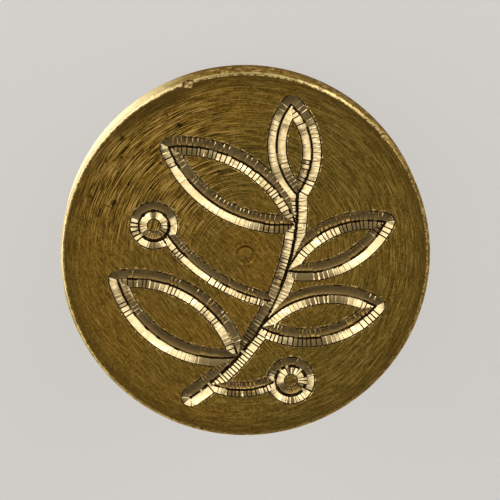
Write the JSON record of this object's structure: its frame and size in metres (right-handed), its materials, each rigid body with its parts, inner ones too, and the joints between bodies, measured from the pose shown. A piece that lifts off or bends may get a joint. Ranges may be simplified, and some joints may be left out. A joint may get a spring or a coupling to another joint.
{
  "type": "seal stamp",
  "caption": "Brass seal stamp head with an engraved leafy sprig, screwed by a steel stud onto a short turned hardwood handle with a brass ferrule.",
  "frame": {"origin": "centre of the handle's flat end, on which the stamp stands", "axes": "+Z along the stamp's axis, from the handle's end out through the engraved face; +Y towards the top of the engraved picture"},
  "size_m": [0.025, 0.025, 0.047],
  "materials": {
    "engraved_brass": "lathe-turned face with fine rings, bright engraved grooves",
    "turned_brass": "turned, lightly tarnished",
    "plain_steel": "plain, threaded",
    "dark_hardwood": "turned and oiled"
  },
  "bodies": {
    "grip": {"handle": "dark_hardwood", "ferrule": "turned_brass", "threaded_insert": "turned_brass"},
    "screw": {"stud": "plain_steel"},
    "head": {"engraved_head": "engraved_brass"}
  },
  "joints": [
    {"name": "head_turn", "type": "hinge", "parent": "grip", "child": "screw", "pos_m": [0, 0, 0.034], "axis": [0, 0, 1], "range_deg": [0, 2970]},
    {"name": "head_advance", "type": "slide", "parent": "screw", "child": "head", "axis": [0, 0, 1], "range_m": [0, 0.00825]}
  ],
  "couplings": [
    {"joint": "head_advance", "follows": "head_turn", "m_per_rad": 0.00015915}
  ]
}
